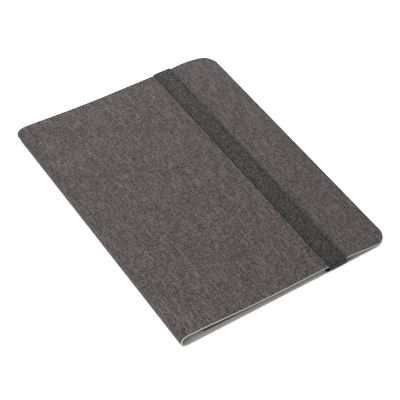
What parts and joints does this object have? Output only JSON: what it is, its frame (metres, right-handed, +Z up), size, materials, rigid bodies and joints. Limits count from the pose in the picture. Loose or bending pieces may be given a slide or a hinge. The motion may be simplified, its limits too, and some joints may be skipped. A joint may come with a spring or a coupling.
{
  "type": "tablet keyboard case",
  "caption": "Folding fabric-covered folio for a ten-inch tablet with a thin built-in keyboard, a corner-strap tray, a stand flap and an elastic closing band.",
  "frame": {"origin": "bottom centre of the closed case, on the surface it lies on", "axes": "+X from the spine to the opening edge, +Y along the spine, to the right of someone typing, +Z up out of the front cover"},
  "size_m": [0.199, 0.2672, 0.013],
  "materials": {
    "cover_fabric": "heathered charcoal grey-brown linen-look weave",
    "cover_board": "warm light grey die-cut edge",
    "cover_lining": "soft grey brushed lining",
    "tray_pad": "grey microfibre pad",
    "tray_board": "dark grey matt board",
    "bond_sheet": "cream double-sided adhesive",
    "strap_elastic": "black-grey woven elastic",
    "band_elastic": "dark green-grey ribbed woven elastic",
    "keyboard_shell": "fine-textured charcoal plastic",
    "key_plastic": "matt black key plastic",
    "switch_plastic": "satin dark plastic",
    "steel_plate": "rolled steel sheet",
    "membrane_film": "clear printed film",
    "dome_rubber": "grey silicone",
    "battery_pouch": "laminated foil pouch",
    "circuit_board": "green solder mask",
    "port_steel": "stamped steel shell",
    "light_lens": "clear moulded light pipe",
    "bumper_rubber": "black rubber dots"
  },
  "bodies": {
    "back_cover": {"back_cover_fabric": "cover_fabric", "back_cover_board": "cover_board", "back_cover_lining": "cover_lining", "band_anchor_tabs": "band_elastic", "keyboard_bond_sheet": "bond_sheet", "keyboard_bottom_shell": "keyboard_shell", "keyboard_back_plate": "steel_plate", "key_membrane": "membrane_film", "rubber_dome_sheet": "dome_rubber", "keyboard_deck": "keyboard_shell", "keyboard_battery": "battery_pouch", "keyboard_circuit_board": "circuit_board", "charging_port": "port_steel", "status_lights": "light_lens", "deck_bumpers": "bumper_rubber"},
    "lower_spine": {"lower_spine_fabric": "cover_fabric", "lower_spine_lining": "cover_lining"},
    "middle_spine": {"middle_spine_fabric": "cover_fabric", "middle_spine_lining": "cover_lining"},
    "upper_spine": {"upper_spine_fabric": "cover_fabric", "upper_spine_lining": "cover_lining"},
    "front_cover": {"front_cover_fabric": "cover_fabric", "front_cover_board": "cover_board", "front_cover_lining": "cover_lining", "tray_bond_sheet": "bond_sheet", "tablet_tray": "tray_board", "tray_pad": "tray_pad", "corner_strap_front_spine": "strap_elastic", "corner_strap_back_spine": "strap_elastic", "corner_strap_front_edge": "strap_elastic", "corner_strap_back_edge": "strap_elastic"},
    "stand_flap": {"stand_flap_fabric": "cover_fabric", "stand_flap_board": "cover_board", "stand_flap_lining": "cover_lining"},
    "closing_band": {"elastic_band": "band_elastic"},
    "power_slider": {"power_switch": "switch_plastic"},
    "pairing_key": {"pairing_button": "switch_plastic"},
    "function_keys_caps": {"function_keys": "key_plastic"},
    "number_keys_caps": {"number_keys": "key_plastic"},
    "backspace_key_caps": {"backspace_key": "key_plastic"},
    "tab_key_caps": {"tab_key": "key_plastic"},
    "top_letter_keys_caps": {"top_letter_keys": "key_plastic"},
    "caps_lock_key_caps": {"caps_lock_key": "key_plastic"},
    "home_letter_keys_caps": {"home_letter_keys": "key_plastic"},
    "enter_key_caps": {"enter_key": "key_plastic"},
    "left_shift_key_caps": {"left_shift_key": "key_plastic"},
    "bottom_letter_keys_caps": {"bottom_letter_keys": "key_plastic"},
    "right_shift_key_caps": {"right_shift_key": "key_plastic"},
    "modifier_keys_caps": {"modifier_keys": "key_plastic"},
    "space_bar_caps": {"space_bar": "key_plastic"},
    "arrow_keys_caps": {"arrow_keys": "key_plastic"}
  },
  "joints": [
    {"name": "cover_opening", "type": "hinge", "parent": "back_cover", "child": "lower_spine", "pos_m": [-0.09555, 0, 0.00034], "axis": [0, -1, 0], "range_deg": [0, 45], "deforming": ["elastic_band"]},
    {"name": "spine_bend_lower", "type": "hinge", "parent": "lower_spine", "child": "middle_spine", "pos_m": [-0.09916, 0, 0.00395], "axis": [0, -1, 0], "range_deg": [0, 45]},
    {"name": "spine_bend_upper", "type": "hinge", "parent": "middle_spine", "child": "upper_spine", "pos_m": [-0.09916, 0, 0.00905], "axis": [0, -1, 0], "range_deg": [0, 45]},
    {"name": "front_cover_bend", "type": "hinge", "parent": "upper_spine", "child": "front_cover", "pos_m": [-0.09555, 0, 0.01266], "axis": [0, -1, 0], "range_deg": [0, 45]},
    {"name": "stand_flap_fold", "type": "hinge", "parent": "front_cover", "child": "stand_flap", "pos_m": [-0.0005, 0, 0.0085], "axis": [0, 1, 0], "range_deg": [-130, 0]},
    {"name": "band_flip", "type": "hinge", "parent": "back_cover", "child": "closing_band", "pos_m": [0.0473, 0, 0.00065], "axis": [0, 1, 0], "range_deg": [0, 180]},
    {"name": "power_slide", "type": "slide", "parent": "back_cover", "child": "power_slider", "axis": [0, 1, 0], "range_m": [0, 0.0025]},
    {"name": "pairing_press", "type": "slide", "parent": "back_cover", "child": "pairing_key", "axis": [0, 0, 1], "range_m": [-0.0004, 0], "stiffness_N_per_m": 1000, "springref_m": 0.0003},
    {"name": "function_row_press", "type": "slide", "parent": "back_cover", "child": "function_keys_caps", "axis": [0, 0, 1], "range_m": [-0.001, 0], "stiffness_N_per_m": 6000, "springref_m": 0.0003},
    {"name": "number_row_press", "type": "slide", "parent": "back_cover", "child": "number_keys_caps", "axis": [0, 0, 1], "range_m": [-0.001, 0], "stiffness_N_per_m": 6000, "springref_m": 0.0003},
    {"name": "backspace_press", "type": "slide", "parent": "back_cover", "child": "backspace_key_caps", "axis": [0, 0, 1], "range_m": [-0.001, 0], "stiffness_N_per_m": 600, "springref_m": 0.0003},
    {"name": "tab_press", "type": "slide", "parent": "back_cover", "child": "tab_key_caps", "axis": [0, 0, 1], "range_m": [-0.001, 0], "stiffness_N_per_m": 600, "springref_m": 0.0003},
    {"name": "top_letter_row_press", "type": "slide", "parent": "back_cover", "child": "top_letter_keys_caps", "axis": [0, 0, 1], "range_m": [-0.001, 0], "stiffness_N_per_m": 6000, "springref_m": 0.0003},
    {"name": "caps_lock_press", "type": "slide", "parent": "back_cover", "child": "caps_lock_key_caps", "axis": [0, 0, 1], "range_m": [-0.001, 0], "stiffness_N_per_m": 600, "springref_m": 0.0003},
    {"name": "home_letter_row_press", "type": "slide", "parent": "back_cover", "child": "home_letter_keys_caps", "axis": [0, 0, 1], "range_m": [-0.001, 0], "stiffness_N_per_m": 6000, "springref_m": 0.0003},
    {"name": "enter_press", "type": "slide", "parent": "back_cover", "child": "enter_key_caps", "axis": [0, 0, 1], "range_m": [-0.001, 0], "stiffness_N_per_m": 600, "springref_m": 0.0003},
    {"name": "left_shift_press", "type": "slide", "parent": "back_cover", "child": "left_shift_key_caps", "axis": [0, 0, 1], "range_m": [-0.001, 0], "stiffness_N_per_m": 600, "springref_m": 0.0003},
    {"name": "bottom_letter_row_press", "type": "slide", "parent": "back_cover", "child": "bottom_letter_keys_caps", "axis": [0, 0, 1], "range_m": [-0.001, 0], "stiffness_N_per_m": 6000, "springref_m": 0.0003},
    {"name": "right_shift_press", "type": "slide", "parent": "back_cover", "child": "right_shift_key_caps", "axis": [0, 0, 1], "range_m": [-0.001, 0], "stiffness_N_per_m": 600, "springref_m": 0.0003},
    {"name": "modifier_row_press", "type": "slide", "parent": "back_cover", "child": "modifier_keys_caps", "axis": [0, 0, 1], "range_m": [-0.001, 0], "stiffness_N_per_m": 3600, "springref_m": 0.0003},
    {"name": "space_bar_press", "type": "slide", "parent": "back_cover", "child": "space_bar_caps", "axis": [0, 0, 1], "range_m": [-0.001, 0], "stiffness_N_per_m": 600, "springref_m": 0.0003},
    {"name": "arrow_row_press", "type": "slide", "parent": "back_cover", "child": "arrow_keys_caps", "axis": [0, 0, 1], "range_m": [-0.001, 0], "stiffness_N_per_m": 2400, "springref_m": 0.0003}
  ],
  "couplings": [
    {"joint": "spine_bend_lower", "follows": "cover_opening", "ratio": 1},
    {"joint": "spine_bend_upper", "follows": "cover_opening", "ratio": 1},
    {"joint": "front_cover_bend", "follows": "cover_opening", "ratio": 1},
    {"joint": "band_flip", "follows": "stand_flap_fold", "ratio": -1.3846}
  ]
}
